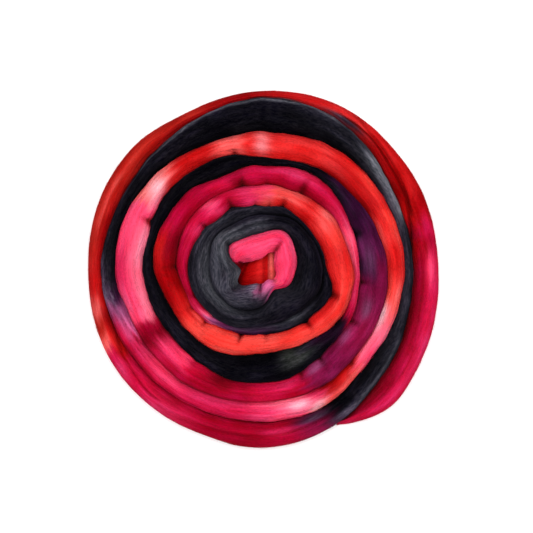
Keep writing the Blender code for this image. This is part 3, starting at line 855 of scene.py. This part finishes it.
@dataclass
class RovingStrand:
    """The combed strand, wound into its coil.

    Attributes:
        winding: How it is wound.
        section: Its cross section.
        chart: How it was dyed.
        ring_step: Metres of strand from one ring to the next.
        tuck_step: The same beside a fold across the strand.
        pit_step: The same at the low inner end.
        side_bulge: How far the free outer side of the rim draws in above and below its waist.
        inner_sag: How much lower the top lies at its inner side.
        press_limit: The most that folds press a place down, over its height.
        tuck_shade: How much painted shade darkens the dye in a tuck, where it is as deep as deep_fold.
        shade_limit: The most painted shade that tucks and splits give together.
        pale_glow: Share of the painted shade in folds that the palest wool loses, as light passes
            through.
        outer_shade: How much painted shade darkens the outer side, where the next turn shades it.
        purity: How fast a colour that the dye lacks fades in painted shade. Its main one does by 1 less.
        shift: From the middle of the winding to the middle of the coil's box.
    """

    winding: Winding = field(default_factory=Winding)
    section: Section = field(default_factory=Section)
    chart: DyeChart = field(default_factory=DyeChart)
    ring_step: float = 2.5 * MM
    tuck_step: float = 0.75 * MM
    pit_step: float = 1.0 * MM
    side_bulge: float = 5.5 * MM
    waist: float = 0.45
    inner_sag: float = 3.2 * MM
    press_limit: float = 0.45
    tuck_shade: float = 0.4
    split_shade: float = 0.5
    shade_limit: float = 0.8
    deep_fold: float = 7.0 * MM
    seam_shade: float = 0.5
    seam_width: float = 1.9 * MM
    pale_glow: float = 0.8
    outer_shade: float = 0.09
    purity: float = 1.8
    shift: tuple[float, float] = (0.0, 0.0)

    def ring_hours(self) -> Array:
        """Places the rings on the wound part, closer together beside each tuck.

        Returns:
            Their hours.
        """
        near_by, far_off, fine_steps = 2.5, 6, 20001
        fine = np.linspace(self.winding.first_hour, self.winding.last_hour, fine_steps)
        speed = HOUR_ANGLE * self.winding.middle(fine)
        step = np.full(fine.shape, self.ring_step)
        for tuck in TUCKS:
            offset = np.abs(fine - tuck.hour) * speed / MM
            near = 1 - ease(near_by * tuck.spread_mm, far_off * tuck.spread_mm, offset)
            step = np.minimum(step, self.ring_step + (self.tuck_step - self.ring_step) * near)
        count = np.concatenate([[0], np.cumsum((speed / step)[:-1] * np.diff(fine))])
        last = int(count[-1])
        return np.interp(np.arange(last + 1) * count[-1] / last, count, fine)

    def wound_rings(self, hour: Array) -> tuple[Array, Array]:
        """Rings of the wound part.

        Args:
            hour: Clock hours wound, at each ring.

        Returns:
            Points by ring and column, and where each lies across the strand.
        """
        winding, column = self.winding, hour[:, None]
        height = winding.crown(hour)
        across, rise = self.section.columns(height, winding.width(hour))
        height = height[:, None]
        level = rise / height
        run = column * HOUR_ANGLE * winding.middle(column) / MM
        tuck = winding.tucks(column, across)
        swell = layered(run, across, SURFACE_SWELLS) + across * layered(run, across, SIDEWAYS_LEAN)
        sag = self.inner_sag * inwards(across) * level**2
        press = (tuck + winding.splits(column, across)) * level - swell * level**3 + sag
        up = rise - np.minimum(press, self.press_limit * rise)
        inner = winding.side(column, up, outer=False) + winding.tuck_draw * tuck * ease(0.5, 0.95, level)
        outer = winding.side(column, up, outer=True)
        share = (across + 1) / 2
        free = ease(winding.rim_start - 0.6, winding.rim_start + 0.6, column)
        bulge = self.side_bulge * ((level - self.waist) / (1 - self.waist)) ** 2 * share**2 * free
        radius = inner + (outer - inner) * share - bulge
        way = bearing(column)
        return np.stack([radius * np.cos(way), radius * np.sin(way), up], axis=-1), across

    def pit_rings(self, first: Array) -> tuple[Array, Array, Array]:
        """Rings of the low inner end, on a smooth way from its tip to the first wound ring.

        Args:
            first: The first wound ring's points.

        Returns:
            Points by ring and column, where each lies across, and the hours for their dye.
        """
        dome = self.section.dome_points
        start = PitRing(*(first[0, :2] / MM), *(first[dome - 1, :2] / MM), first[:, 2].max() / MM)
        rows = np.array(PIT_END[::-1] + (start,)) * MM
        middle = (rows[:, :2] + rows[:, 2:4]) / 2
        length = np.linalg.norm(np.diff(middle, axis=0), axis=1).sum()
        place = np.linspace(0, len(rows) - 1, int(length / self.pit_step))[:-1]
        row = through(rows, place)
        across, rise = self.section.columns(row[:, 4], np.linalg.norm(row[:, 2:4] - row[:, :2], axis=1))
        share = ((across + 1) / 2)[..., None]
        flat = row[:, None, :2] * (1 - share) + row[:, None, 2:4] * share
        hours = [self.chart.stretches[0].hour, self.winding.first_hour]
        hour = np.interp(place, [0, len(rows) - 1], hours)
        return np.concatenate([flat, rise[..., None]], axis=-1), across, hour

    def grid(self) -> Grid:
        """Works out the whole surface, with its fine ridges.

        Returns:
            The surface, moved so that the coil's box is centred.
        """
        hour = self.ring_hours()
        wound, wound_across = self.wound_rings(hour)
        pit, pit_across, pit_hour = self.pit_rings(wound[0])
        points = np.concatenate([pit, wound])
        across = np.concatenate([pit_across, wound_across])
        hour = np.concatenate([pit_hour, hour])
        middle = points[:, : self.section.dome_points].mean(axis=1)
        along = np.concatenate([[0], np.cumsum(np.linalg.norm(np.diff(middle, axis=0), axis=1))])
        points[..., :2] += np.array(self.shift)
        points += self.normals(points) * self.ridges(along, across, points)[..., None]
        return Grid(points, self.normals(points), hour, across, along, self.dye(hour, across))

    def dye(self, hour: Array, across: Array) -> Array:
        """The dye over the whole surface, with painted shade in the folds, at the seams where two turns
        meet and on the outer side of each pressed turn.

        Args:
            hour: Clock hours wound, at each ring.
            across: Where each point lies across the strand.

        Returns:
            Linear red, green and blue, and the light of the wisps, by ring and column.
        """
        column, winding = hour[:, None], self.winding
        # Painted shade in tucks and splits, heavier where they press in further.
        folds = self.tuck_shade * ease(0, self.deep_fold, winding.tucks(column, across))
        folds = folds + self.split_shade * ease(0, self.deep_fold, winding.splits(column, across))
        inset = (1 - np.abs(across)) * winding.width(column) / 2
        # Painted shade along each seam, where two turns meet: half as much on a turn's outer side, and
        # none inside the first turn.
        sides = np.where(across > 0, 0.5, ease(10, 13, column))
        seam = self.seam_shade * (1 - ease(0, self.seam_width, inset)) * sides
        colour = self.chart.colour(column, across)
        pale = ease(0.04, 0.3, colour.min(axis=-1))
        glow = 1 - self.pale_glow * pale
        shade = (1 - glow * np.clip(folds, 0, self.shade_limit)) * (1 - glow * seam)
        # Painted shade on the outer side of each turn inside the rim, where the next turn out shades it.
        pressed = 1 - ease(winding.rim_start - 0.6, winding.rim_start + 0.4, column)
        shade = shade * (1 - self.outer_shade * ease(-0.2, 0.5, across) * pressed)
        # The painted shade keeps to the dye's hue: light that goes to and fro in a fold takes on the
        # dye, so the other colours fade first.
        pure = self.purity - colour / np.maximum(colour.max(axis=-1, keepdims=True), 1e-4)
        shade = shade[..., None]
        return np.concatenate([colour * shade**pure, self.chart.wisps(colour) * shade], axis=-1)

    def ridges(self, along: Array, across: Array, points: Array) -> Array:
        """Fine lengthwise ridges of combed fibre, fading out towards the floor.

        Args:
            along: Metres of strand up to each ring.
            across: Where each point lies across the strand.
            points: Places by ring and column.

        Returns:
            How far each point stands out.
        """
        half_width_mm, meander_mm, bend_mm, floor_share = 9.0, 0.6, 37.0, 0.25
        run = (along / MM)[:, None]
        girth = across * half_width_mm + meander_mm * np.sin(run / bend_mm)
        top = ease(0.3, 0.8, points[..., 2] / self.winding.loft)
        return layered(run, girth, COMBED_RIDGES) * (floor_share + (1 - floor_share) * top)

    @staticmethod
    def normals(points: Array) -> Array:
        """Directions out of the surface, from how it runs along and across.

        Args:
            points: Places by ring and column.

        Returns:
            A direction for each point, of length one.
        """
        along = np.gradient(points, axis=0)
        around = np.roll(points, -1, axis=1) - np.roll(points, 1, axis=1)
        normal = np.cross(along, around)
        return normal / np.maximum(np.linalg.norm(normal, axis=-1, keepdims=True), 1e-12)

    def build(self, grid: Grid, finish: "CombedWool") -> bpy.types.Object:
        """Makes the strand's mesh.

        Args:
            grid: Its surface.
            finish: The wool it is made of.

        Returns:
            The strand, one closed piece.
        """
        rings, columns = grid.across.shape
        corner = np.arange(rings * columns).reshape(rings, columns)
        after = np.roll(corner, -1, axis=1)
        quads = np.stack([corner[:-1], corner[1:], after[1:], after[:-1]], axis=-1).reshape(-1, 4)
        caps = [corner[0].tolist(), corner[-1][::-1].tolist()]
        mesh = bpy.data.meshes.new("roving_strand")
        mesh.from_pydata(grid.points.reshape(-1, 3), [], quads.tolist() + caps)
        mesh.shade_smooth()
        paint(mesh, grid.dye.reshape(-1, 4))
        girth = np.linalg.norm(np.diff(grid.points, axis=1, append=grid.points[:, :1]), axis=-1)
        aside = np.concatenate([np.zeros((rings, 1)), np.cumsum(girth, axis=1)[:, :-1]], axis=1)
        # The map is cut open along the underside, where its two edges don't show.
        sole = columns - self.section.side_points - self.section.fillet_points - 2
        aside[:, sole:] -= girth.sum(axis=1, keepdims=True)
        lay_map(mesh, np.stack([np.broadcast_to(grid.along[:, None], aside.shape), aside], axis=-1))
        mesh.materials.append(finish.material())
        return linked("roving_strand", mesh)


def paint(mesh: bpy.types.Mesh, colours: Array) -> None:
    """Stores the dye, with its painted shade and highlights, on a mesh: one linear colour for each
    vertex with the light of its wisps.
    """
    layer = mesh.color_attributes.new("dye", "FLOAT_COLOR", "POINT")
    layer.data.foreach_set("color", colours.astype(np.float32).ravel())


def lay_map(mesh: bpy.types.Mesh, places: Array) -> None:
    """Stores a map on a mesh, for patterns that follow the strand.

    Args:
        mesh: The mesh.
        places: Metres along and across the strand, for each vertex.
    """
    corners = np.empty(len(mesh.loops), np.int32)
    mesh.loops.foreach_get("vertex_index", corners)
    layer = mesh.uv_layers.new(name="combed")
    layer.uv.foreach_set("vector", places.reshape(-1, 2)[corners].astype(np.float32).ravel())


def linked(name: str, mesh: bpy.types.Mesh) -> bpy.types.Object:
    """Puts a mesh in the scene.

    Args:
        name: The piece's name.
        mesh: Its mesh.

    Returns:
        The piece.
    """
    piece = bpy.data.objects.new(name, mesh)
    bpy.context.scene.collection.objects.link(piece)
    return piece


# --- fibres


@dataclass(frozen=True)
class FibreLay:
    """How a set of single fibres lies on the strand.

    Attributes:
        name: The piece's name.
        count: How many fibres it has.
        hours: The stretch of strand that they lie on.
        columns: The columns between which they start.
        length: Shortest and longest, in metres.
        radius: Drawn coarser than wool's hundredth of a millimetre, so that it shows.
        lift: How high they start over the surface, at the least and the most.
        stray: How far their free ends stand off, at the most.
        wander: How many columns they drift across.
        shade: How much lighter or darker than the strand, at the most.
        samples: Points along each fibre.
    """

    name: str
    count: int
    hours: tuple[float, float]
    columns: tuple[float, float]
    length: tuple[float, float]
    radius: float
    lift: tuple[float, float]
    stray: float
    wander: float
    shade: tuple[float, float]
    seed: int
    samples: int = 8


@dataclass
class LooseFibres:
    """Single fibres on the strand, as slender closed slivers with three sides.

    Attributes:
        lay: How they lie.
        floor_gap: How far they keep off the floor.
    """

    lay: FibreLay
    floor_gap: float = 0.2 * MM

    def routes(self, grid: Grid) -> tuple[Array, Array, Array]:
        """Where each fibre runs.

        Args:
            grid: The strand's surface.

        Returns:
            Points, directions out of the strand, and colours, by fibre and sample.
        """
        lay = self.lay
        rng = np.random.default_rng(lay.seed)
        ends = np.interp(lay.hours, grid.hour, grid.along)
        length = rng.uniform(*lay.length, (lay.count, 1))
        start = rng.uniform(*ends, (lay.count, 1))
        step = np.linspace(0, 1, lay.samples)[None, :]
        way = rng.choice([-1, 1], (lay.count, 1))
        along = np.clip(start + way * length * step, *ends)
        ring = np.interp(along, grid.along, np.arange(len(grid.along)))
        column = rng.uniform(*lay.columns, (lay.count, 1))
        drifted = rng.normal(0, 1, (lay.count, 1)) * lay.wander * step
        waves = np.sin(step * rng.uniform(3, 9, (lay.count, 1)) + rng.uniform(0, 6, (lay.count, 1)))
        column = column + drifted + 0.25 * lay.wander * waves
        point, normal, dye = self.on_surface(grid, ring, column)
        away = rng.uniform(0, 1, (lay.count, 1)) ** 2 * lay.stray * step**2
        height = rng.uniform(*lay.lift, (lay.count, 1)) + away
        shade = 1 + rng.uniform(*lay.shade, (lay.count, 1, 1))
        point = point + normal * height[..., None]
        point[..., 2] = np.maximum(point[..., 2], self.floor_gap)
        return point, normal, np.clip(dye * shade, 0, 1)

    @staticmethod
    def on_surface(grid: Grid, ring: Array, column: Array) -> tuple[Array, Array, Array]:
        """Reads the strand's surface between its rings and columns.

        Args:
            grid: The surface.
            ring: Places counted in rings.
            column: Places counted in columns.

        Returns:
            Points, directions out and the strand's dye.
        """
        rings, columns = grid.across.shape
        low = np.clip(ring.astype(int), 0, rings - 2)
        left = np.floor(column).astype(int)
        s, t = (ring - low)[..., None], (column - left)[..., None]
        left, right = left % columns, (left + 1) % columns

        def read(values: Array) -> Array:
            """Values between the four corners round each place."""
            near, far = (values[k, left] * (1 - t) + values[k, right] * t for k in (low, low + 1))
            return near * (1 - s) + far * s

        normal = read(grid.normals)
        normal = normal / np.maximum(np.linalg.norm(normal, axis=-1, keepdims=True), 1e-9)
        return read(grid.points), normal, read(grid.dye)

    def build(self, grid: Grid, finish: "LooseWool") -> bpy.types.Object:
        """Makes the fibres' mesh.

        Args:
            grid: The strand's surface.
            finish: The wool they are made of.

        Returns:
            All the fibres, one piece.
        """
        points, normal, colour = self.routes(grid)
        tangent = np.gradient(points, axis=1)
        tangent /= np.maximum(np.linalg.norm(tangent, axis=-1, keepdims=True), 1e-9)
        side = np.cross(tangent, normal)
        side /= np.maximum(np.linalg.norm(side, axis=-1, keepdims=True), 1e-9)
        up = np.cross(side, tangent)
        count, samples = points.shape[:2]
        taper = np.linspace(0, 1, samples)
        tip_share, blunt = 0.35, 0.06
        swelling = np.sin(math.pi * np.clip(taper, blunt, 1 - blunt)) ** 0.5
        girth = (self.lay.radius * (tip_share + (1 - tip_share) * swelling))[None, :, None]
        around = [
            points + (side * math.cos(a) + up * math.sin(a)) * girth
            for a in np.radians([90, 210, 330])
        ]
        places = np.stack(around, axis=2)
        corner = np.arange(count * samples * 3).reshape(count, samples, 3)
        after = np.roll(corner, -1, axis=2)
        quads = np.stack([corner[:, :-1], after[:, :-1], after[:, 1:], corner[:, 1:]], axis=-1)
        faces = quads.reshape(-1, 4).tolist() + corner[:, 0, ::-1].tolist() + corner[:, -1].tolist()
        mesh = bpy.data.meshes.new(self.lay.name)
        mesh.from_pydata(places.reshape(-1, 3), [], faces)
        mesh.shade_smooth()
        paint(mesh, np.repeat(colour.reshape(-1, 4), 3, axis=0))
        mesh.materials.append(finish.material())
        return linked(self.lay.name, mesh)


FIBRES = 3900  # in each piece, which keeps it under 200,000 triangles
TOP_COLUMNS = (1.5, 27.0)
COMBED_LIFT = (-0.05 * MM, 0.10 * MM)
FIBRE_LAYS = (
    FibreLay(
        "combed_fibres_inner", FIBRES, (0.7, 62), TOP_COLUMNS, (8 * MM, 24 * MM), 0.10 * MM,
        COMBED_LIFT, 0.8 * MM, 2.2, (-0.15, 0.12), seed=3,
    ),
    FibreLay(
        "combed_fibres_outer", FIBRES, (62, 103.9), TOP_COLUMNS, (12 * MM, 34 * MM), 0.11 * MM,
        COMBED_LIFT, 0.8 * MM, 2.0, (-0.15, 0.12), seed=4,
    ),
    FibreLay(
        "flyaway_fibres", FIBRES, (0.7, 103.9), (0.5, 33.0), (5 * MM, 16 * MM), 0.06 * MM,
        (0.0, 0.1 * MM), 1.2 * MM, 3.0, (-0.2, 0.2), seed=5,
    ),
)


# --- finishes


def add_node(
    tree: bpy.types.NodeTree, kind: str, settings: dict | None = None, links: dict | None = None
) -> bpy.types.Node:
    """Adds a node with its settings and links.

    Args:
        tree: The material's nodes.
        kind: The node's Blender type.
        settings: Values by name: an input's if the node has one of that name, or else its own.
        links: The sockets that feed its inputs, by the input's name or number.

    Returns:
        The new node.
    """
    node = tree.nodes.new(kind)
    for name, value in (settings or {}).items():
        if isinstance(name, int) or name in node.inputs:
            node.inputs[name].default_value = value
        else:
            setattr(node, name, value)
    for name, socket in (links or {}).items():
        tree.links.new(socket, node.inputs[name])
    return node


def new_material(name: str) -> tuple[bpy.types.Material, bpy.types.NodeTree, bpy.types.Node]:
    """Makes a material that has only its shader.

    Args:
        name: Its name.

    Returns:
        The material, its nodes and its shader.
    """
    material = bpy.data.materials.new(name)
    material.use_nodes = True
    return material, material.node_tree, material.node_tree.nodes["Principled BSDF"]


@dataclass(frozen=True)
class CombedWool:
    """Hand-dyed wool top: scoured, combed so that its fibres lie one way, and dyed in the length.

    Attributes:
        lock_mm: Width of a lock of fibres, the broad streaks.
        fibre_mm: Width of the finest streaks. Wool fibres are 0.02 mm, too fine to show, so they
            are drawn this coarse.
        felt_mm: Size of the specks where fibres matted together in the dyebath.
        streak_mm: How long a streak runs before its fibres dive out of sight.
        crimp_mm: How far a streak wanders, as crimped fibres do.
        wisp_mm: Width of the pale wisps on blacks and greys.
        depth_mm: Depth of the furrows between the streaks.
        shade: How dark the furrows are and how light the fibres between them.
        wisp_level: What the wisps take from a black or grey and what they add to it.
        wisp_tint: Their tint.
        roughness: Matt, as scaly fibres are.
        sheen: Very little, because the fibres lie flat.
        specular: Low, because gaps between the fibres swallow what a smooth face would mirror.
    """

    lock_mm: float = 4.0
    fibre_mm: float = 0.8
    felt_mm: float = 1.2
    streak_mm: float = 11.0
    crimp_mm: float = 4.5
    wisp_mm: float = 1.3
    depth_mm: float = 0.5
    shade: tuple[float, float] = (0.50, 0.97)
    wisp_level: tuple[float, float] = (-0.35, 1.0)
    wisp_tint: tuple[float, float, float] = (1.04, 0.88, 1.06)
    roughness: float = 0.9
    sheen: float = 0.004
    sheen_roughness: float = 0.4
    specular: float = 0.01

    def material(self) -> bpy.types.Material:
        """Makes it matt, with streaks along the strand and a trace of sheen.

        Returns:
            The material.
        """
        material, tree, shader = new_material("dyed_combed_wool")
        dye = add_node(tree, "ShaderNodeVertexColor", {"layer_name": "dye"})
        place = add_node(tree, "ShaderNodeUVMap", {"uv_map": "combed"}).outputs["UV"]
        wander_mm, ripple_mm = 16.0, 22.0
        wander = self.streaks(tree, place, wander_mm, ripple_mm).outputs["Color"]
        place = add_node(
            tree, "ShaderNodeVectorMath",
            {"operation": "MULTIPLY_ADD", 1: (0, self.crimp_mm * MM, 0)}, {0: wander, 2: place},
        ).outputs[0]
        height = self.streaks(tree, place, self.lock_mm, self.streak_mm * 3).outputs["Fac"]
        for across_mm, along_mm, share in (
            (self.fibre_mm, self.streak_mm, 0.7),
            (self.felt_mm, self.felt_mm * 1.6, 1.1),
        ):
            finer = self.streaks(tree, place, across_mm, along_mm)
            height = add_node(
                tree, "ShaderNodeMath", {"operation": "MULTIPLY_ADD", 1: share},
                {0: finer.outputs["Fac"], 2: height},
            ).outputs[0]
        # The three noises add up to between about 0.9 and 1.9.
        shade = add_node(
            tree, "ShaderNodeMapRange",
            {"From Min": 0.9, "From Max": 1.9, "To Min": self.shade[0], "To Max": self.shade[1]},
            {"Value": height},
        )
        tone = add_node(
            tree, "ShaderNodeHueSaturation",
            links={"Color": dye.outputs["Color"], "Value": shade.outputs["Result"]},
        )
        wisp = self.streaks(tree, place, self.wisp_mm, self.wisp_mm * 3.5).outputs["Fac"]
        low, high = self.wisp_level
        level = add_node(
            tree, "ShaderNodeMapRange",
            {"From Min": 0.36, "From Max": 0.68, "To Min": low, "To Max": high}, {"Value": wisp},
        ).outputs["Result"]
        amount = add_node(
            tree, "ShaderNodeMath", {"operation": "MULTIPLY"}, {0: dye.outputs["Alpha"], 1: level}
        ).outputs[0]
        wisps = add_node(
            tree, "ShaderNodeVectorMath", {"operation": "MULTIPLY_ADD", 1: self.wisp_tint},
            {0: amount, 2: tone.outputs["Color"]},
        ).outputs[0]
        relief = add_node(
            tree, "ShaderNodeBump", {"Strength": 0.8, "Distance": self.depth_mm * MM},
            {"Height": height},
        )
        tree.links.new(wisps, shader.inputs["Base Color"])
        tree.links.new(relief.outputs["Normal"], shader.inputs["Normal"])
        shader.inputs["Roughness"].default_value = self.roughness
        shader.inputs["Sheen Weight"].default_value = self.sheen
        shader.inputs["Sheen Roughness"].default_value = self.sheen_roughness
        shader.inputs["Specular IOR Level"].default_value = self.specular
        return material

    @staticmethod
    def streaks(
        tree: bpy.types.NodeTree, place: bpy.types.NodeSocket, across_mm: float, along_mm: float
    ) -> bpy.types.Node:
        """A noise drawn out along the strand.

        Args:
            tree: The material's nodes.
            place: The socket that gives metres along and across.
            across_mm: Width of one streak.
            along_mm: Length of one streak.

        Returns:
            The noise, whose Fac output runs from about 0.3 to 0.7.
        """
        scale = (1 / (along_mm * MM), 1 / (across_mm * MM), 1.0)
        stretched = add_node(tree, "ShaderNodeMapping", {"Scale": scale}, {"Vector": place})
        return add_node(
            tree, "ShaderNodeTexNoise",
            {"noise_dimensions": "2D", "Scale": 1.0, "Detail": 2.0, "Roughness": 0.55},
            {"Vector": stretched.outputs["Vector"]},
        )


@dataclass(frozen=True)
class LooseWool:
    """Single wool fibres: scaly keratin, which scatters light softly and shines a little."""

    roughness: float = 0.8
    sheen: float = 0.02
    specular: float = 0.03

    def material(self) -> bpy.types.Material:
        """Gives the strand's own dye, a little glossier, as a fibre seen by itself is.

        Returns:
            The material.
        """
        material, tree, shader = new_material("loose_wool_fibre")
        dye = add_node(tree, "ShaderNodeVertexColor", {"layer_name": "dye"})
        tree.links.new(dye.outputs["Color"], shader.inputs["Base Color"])
        shader.inputs["Roughness"].default_value = self.roughness
        shader.inputs["Sheen Weight"].default_value = self.sheen
        shader.inputs["Specular IOR Level"].default_value = self.specular
        return material


@dataclass(frozen=True)
class PaperSweep:
    """Matt white background paper, which gives an even pale ground."""

    colour: str = "FAFAFA"
    roughness: float = 0.95

    def material(self) -> bpy.types.Material:
        """Makes it plain and nearly white.

        Returns:
            The material.
        """
        material, _, shader = new_material("matt_white_paper")
        shader.inputs["Base Color"].default_value = (*linear(srgb(self.colour)), 1)
        shader.inputs["Roughness"].default_value = self.roughness
        return material


# --- studio


@dataclass(frozen=True)
class Studio:
    """The floor, the lights and the camera that looks straight down.

    Attributes:
        floor_size: Width of the square floor.
        view_width: What the square picture takes in, measured at view_height.
        view_shift: Where the picture's middle lies from the middle of the coil.
        lens_mm: Long, so that the turns are seen from straight above.
        world_strength: Brightness of the white all round.
        key_power: Watts of the light that gives the shadows their side.
        fill_power: Watts of the light that softens them.
    """

    floor_size: float = 14.0
    view_width: float = 426.4 * MM
    view_shift: tuple[float, float] = (2.55 * MM, 2.15 * MM)
    view_height: float = 20 * MM
    lens_mm: float = 250.0
    sensor_mm: float = 36.0
    world_strength: float = 0.66
    key_power: float = 80.0
    key_size: float = 1.7
    key_place: tuple[float, float, float] = (0.14, 0.34, 3.1)
    fill_power: float = 30.0
    fill_size: float = 2.2
    fill_place: tuple[float, float, float] = (-0.35, -0.2, 3.2)

    def build(self) -> bpy.types.Object:
        """Sets the studio up.

        Returns:
            The floor.
        """
        self.look_down()
        self.light("key_light", self.key_place, self.key_size, self.key_power)
        self.light("fill_light", self.fill_place, self.fill_size, self.fill_power)
        world = bpy.data.worlds.new("studio_air")
        world.use_nodes = True
        world.node_tree.nodes["Background"].inputs["Color"].default_value = (1, 1, 1, 1)
        world.node_tree.nodes["Background"].inputs["Strength"].default_value = self.world_strength
        bpy.context.scene.world = world
        bpy.context.scene.view_settings.view_transform = "Standard"
        half = self.floor_size / 2
        mesh = bpy.data.meshes.new("studio_floor")
        corners = [(-half, -half, 0), (half, -half, 0), (half, half, 0), (-half, half, 0)]
        mesh.from_pydata(corners, [], [(0, 1, 2, 3)])
        mesh.materials.append(PaperSweep().material())
        return linked("studio_floor", mesh)

    def look_down(self) -> None:
        """Adds the camera, straight above the coil."""
        data = bpy.data.cameras.new("overhead_camera")
        data.lens = self.lens_mm
        data.sensor_width = self.sensor_mm
        data.clip_end = 20.0
        camera = bpy.data.objects.new("overhead_camera", data)
        distance = self.view_width * self.lens_mm / self.sensor_mm
        camera.location = (*self.view_shift, self.view_height + distance)
        bpy.context.scene.collection.objects.link(camera)
        bpy.context.scene.camera = camera

    @staticmethod
    def light(name: str, place: Sequence[float], size: float, power: float) -> None:
        """Adds a square soft light that faces the coil.

        Args:
            name: Its name.
            place: Where it stands.
            size: Its width.
            power: Its power in watts.
        """
        data = bpy.data.lights.new(name, "AREA")
        data.size = size
        data.energy = power
        lamp = bpy.data.objects.new(name, data)
        lamp.location = place
        x, y, z = place
        lamp.rotation_euler = (math.atan2(math.hypot(x, y), z), 0, math.atan2(y, x) + math.pi / 2)
        bpy.context.scene.collection.objects.link(lamp)


# --- main


def centre_shift(strand: RovingStrand) -> tuple[float, float]:
    """From the middle of the winding to the middle of the plain solid's box.

    Args:
        strand: The strand, not yet moved.

    Returns:
        How far to move it along X and Y.
    """
    low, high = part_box("roving")
    winding, steps = strand.winding, 37 * HOURS_PER_TURN
    hour = np.linspace(winding.rim_start, winding.last_hour, steps)
    radius, way = winding.seen_edge(hour), bearing(hour)
    x, y = radius * np.cos(way), radius * np.sin(way)
    middle = (low + high) / 2
    return middle.x - (x.min() + x.max()) / 2, middle.y - (y.min() + y.max()) / 2


def main() -> None:
    """Builds the studio, the strand and its fibres."""
    logging.basicConfig(level=logging.INFO, format="%(name)s: %(message)s")
    Studio().build()
    strand = RovingStrand()
    strand.shift = centre_shift(strand)
    grid = strand.grid()
    roving = strand.build(grid, CombedWool())
    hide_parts("roving")
    pieces = [roving] + [LooseFibres(lay).build(grid, LooseWool()) for lay in FIBRE_LAYS]
    for piece in pieces:
        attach(piece, "root")
        triangles = sum(len(face.vertices) - 2 for face in piece.data.polygons)
        LOG.info("%s: %d triangles", piece.name, triangles)
    LOG.info("strand: %.2f m", grid.along[-1])


if __name__ == "__main__":
    main()
